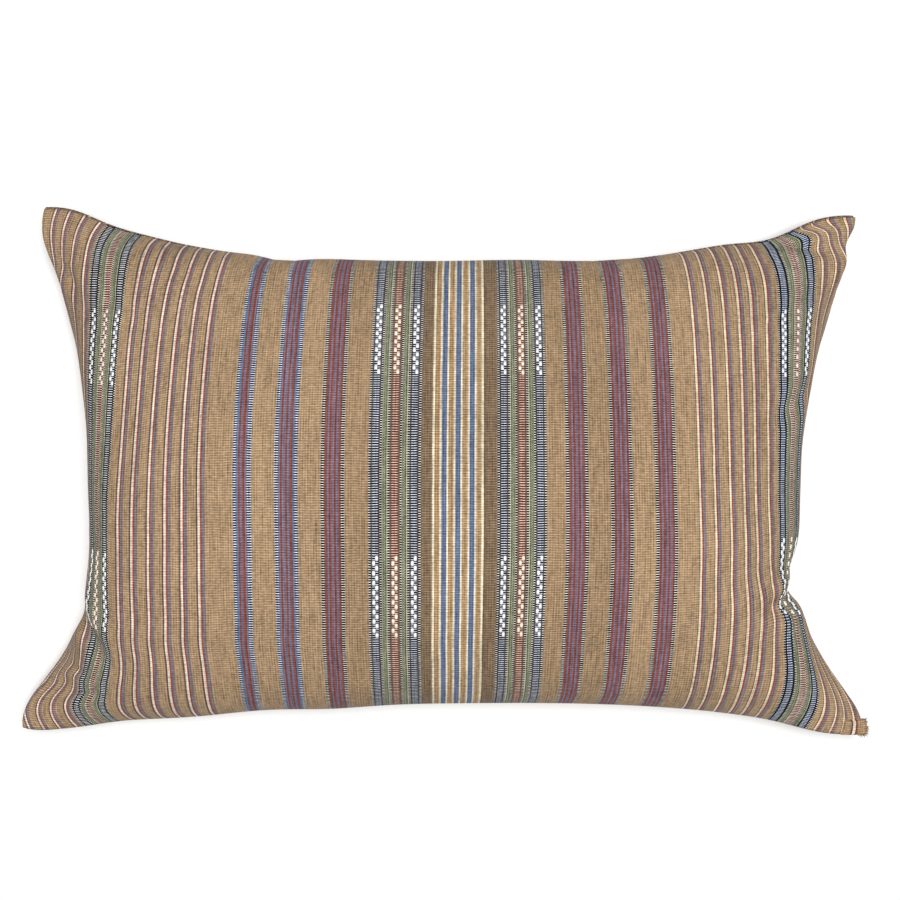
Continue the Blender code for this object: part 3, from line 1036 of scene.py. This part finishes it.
def spun_thread(name, colour, roughness):
    """Spun thread: its twist shows as a fine unevenness. Sewing thread is faintly glossy, and raw
    cotton yarn is matt."""
    material, tree, shader = new_material(name, {"Roughness": roughness})
    mottle(tree, shader, linear(colour), scale=900.0, least=0.7, most=1.3)
    return material


seam_loop = np.concatenate([seam_line, seam_line[:1]])
seam_runs = np.concatenate([[0.0], np.cumsum(np.linalg.norm(np.diff(seam_loop, axis=0), axis=1))])
stitch_count = int(seam_runs[-1] / STITCH_PITCH)
stitch_runs = np.linspace(0.0, seam_runs[-1], stitch_count, endpoint=False)


def along_seam(values):
    """Values of the seam's points at each stitch."""
    closed = np.concatenate([values, values[:1]])
    return np.stack([np.interp(stitch_runs, seam_runs, closed[:, axis]) for axis in range(3)], axis=-1)


stitches = short_threads(
    "seam_stitches",
    along_seam(seam_line - inward * STITCH_OUT),
    along_seam(-inward),
    along_seam(heading),
    np.tile(STITCH_SIZE, (stitch_count, 1)),
    np.zeros(stitch_count),
    STITCH_SQUARENESS,
    spun_thread("polyester_sewing_thread", THREAD_BROWN, 0.5),
)
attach(stitches, "root")


# Turned corner
# At the bottom right corner the seam allowance was not pushed out fully. A small lip of the
# cloth is turned over the corner, and its raw edge frays into loose brown ends.
LIP_ACROSS = (283.0, 304.5)
LIP_ALONG = (-195.3, -182.5)
LIP_LIFT = 0.0032
LIP_SUNK = 0.0006
LIP_ROUNDING = 6
LIP_OUT = np.array((0.0022, -0.0008, 0.0))
LIP_STRIPES = in_turn((5.0, 1.2, 1.7, 1.2, 5.9), "tan", "plum", "white", "brick", "tan")
LIP_ROWS = 12
LIP_WIDEST_COLUMN = 0.9

lip_edges = np.concatenate([[0.0], np.cumsum([stripe.width for stripe in LIP_STRIPES])])
lip_columns = divided(list(lip_edges), LIP_WIDEST_COLUMN)
lip_across = LIP_ACROSS[0] + lip_columns / lip_edges[-1] * (LIP_ACROSS[1] - LIP_ACROSS[0])
lip_count = len(lip_across)
lip_falls = [1.0 - np.abs(np.linspace(-1.0, 1.0, count)) ** LIP_ROUNDING for count in (LIP_ROWS, lip_count)]
lip_rise = np.sqrt(np.outer(*lip_falls)).ravel() * LIP_LIFT - LIP_SUNK
lip_across, lip_along = (
    grid.ravel() for grid in np.meshgrid(lip_across, np.linspace(*LIP_ALONG, LIP_ROWS))
)
lip_points = grid_place(front, lip_across, lip_along) + LIP_OUT
lip_points = lip_points + grid_place(front_normals, lip_across, lip_along) * lip_rise[:, None]
lip_faces = quads_of(np.arange(LIP_ROWS * lip_count).reshape(LIP_ROWS, lip_count))
lip_mesh = new_mesh("turned_corner", lip_points, lip_faces)
lip_picks = np.interp(lip_along, along_mm, picks_at)
lip_stripes = np.searchsorted(lip_edges, (lip_columns[1:] + lip_columns[:-1]) / 2.0) - 1
lay_cloth(
    lip_mesh,
    lip_across[lip_faces.ravel()],
    lip_picks[lip_faces.ravel()],
    yarn_colours([LIP_STRIPES[i] for i in lip_stripes]),
    np.tile(np.arange(lip_count - 1), LIP_ROWS - 1),
)
lip_mesh.shade_smooth()
lip_mesh.materials.append(cotton)
lip = placed("turned_corner", lip_mesh)
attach(lip, "root")

# The loose ends leave the lip's outer edge and the last of its lower one, most of them outwards
# and a little down. Their draws are seeded, so each run frays alike.
FRAY_SEED = 5
FRAY_COUNT = 130
FRAY_CORNER = 0.75
FRAY_ACROSS = (304.5, 304.5, 298.0)
FRAY_ALONG = (-184.0, -195.0, -195.3)
FRAY_HEADING = (-12.0, 32.0)
FRAY_LENGTH = (0.0015, 0.0042)
FRAY_WIDTH = 0.00034
FRAY_THICKNESS = 0.0003
FRAY_SLOPE = 0.25
FRAY_HEIGHT = (-0.0012, 0.0016)
FRAY_BEYOND = 0.35
FRAY_OUT = 0.8
FRAY_SQUARENESS = 0.2
FRAY_BROWN = "#8C6B47"

fray_random = np.random.default_rng(FRAY_SEED)
fray_at = fray_random.uniform(0.0, 1.0, FRAY_COUNT)
fray_turn = np.radians(fray_random.normal(*FRAY_HEADING, FRAY_COUNT))
fray_across, fray_along = (
    np.interp(fray_at, [0.0, FRAY_CORNER, 1.0], ends) for ends in (FRAY_ACROSS, FRAY_ALONG)
)
fray_lengths = fray_random.uniform(*FRAY_LENGTH, FRAY_COUNT)
fray_slope = fray_random.normal(0.0, FRAY_SLOPE, FRAY_COUNT)
fray_heading = np.stack([np.cos(fray_turn), np.sin(fray_turn), fray_slope], axis=-1)
fray_places = grid_place(front, fray_across, fray_along) + LIP_OUT * FRAY_OUT
fray_places = fray_places + fray_heading * fray_lengths[:, None] * FRAY_BEYOND
fray_places[:, 2] += fray_random.uniform(*FRAY_HEIGHT, FRAY_COUNT)
fray_up = np.cross(fray_heading, np.cross([0.0, 0.0, 1.0], fray_heading))
fray_widths, fray_thicknesses = np.full((2, FRAY_COUNT), [[FRAY_WIDTH], [FRAY_THICKNESS]])
frayed = short_threads(
    "frayed_ends",
    fray_places,
    fray_up,
    fray_heading,
    np.stack([fray_widths, fray_lengths, fray_thicknesses], axis=-1),
    np.zeros(FRAY_COUNT),
    FRAY_SQUARENESS,
    spun_thread("raw_cotton_yarn", FRAY_BROWN, 0.9),
)
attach(frayed, "root")


# Floor and studio light
# A plain white sweep, one large soft light above, a little toward the top edge, and even light
# all round it.
FLOOR_HALF_SIZE = 7.0
FLOOR_COLOUR = "#F4F4F3"

floor_corners = np.array([(-1, -1, 0), (1, -1, 0), (1, 1, 0), (-1, 1, 0)]) * FLOOR_HALF_SIZE
floor_mesh = new_mesh("floor", floor_corners, [(0, 1, 2, 3)])
# Matt white paint: even, with no gloss
paint_looks = {"Base Color": (*linear(FLOOR_COLOUR), 1.0), "Roughness": 0.9}
floor_mesh.materials.append(new_material("matt_white_paint", paint_looks)[0])
floor = placed("floor", floor_mesh)

LIGHT_PLACE = Vector((0.15, 0.12, 4.0))
LIGHT_AIM = Vector((0.0, 0.0, 0.08))
LIGHT_SIZE = 0.8
LIGHT_POWER = 171.0
ROOM_LIGHT = 0.10

soft_box_data = bpy.data.lights.new("soft_box", "AREA")
soft_box_data.size = LIGHT_SIZE
soft_box_data.energy = LIGHT_POWER
soft_box = placed("soft_box", soft_box_data)
soft_box.location = LIGHT_PLACE
soft_box.rotation_mode = "QUATERNION"
soft_box.rotation_quaternion = (LIGHT_AIM - LIGHT_PLACE).to_track_quat("-Z", "Y")

room = bpy.data.worlds.new("room")
room.use_nodes = True
room_looks = room.node_tree.nodes["Background"].inputs
room_looks["Color"].default_value = (1.0, 1.0, 1.0, 1.0)
room_looks["Strength"].default_value = ROOM_LIGHT
scene.world = room
scene.view_settings.view_transform = "Standard"
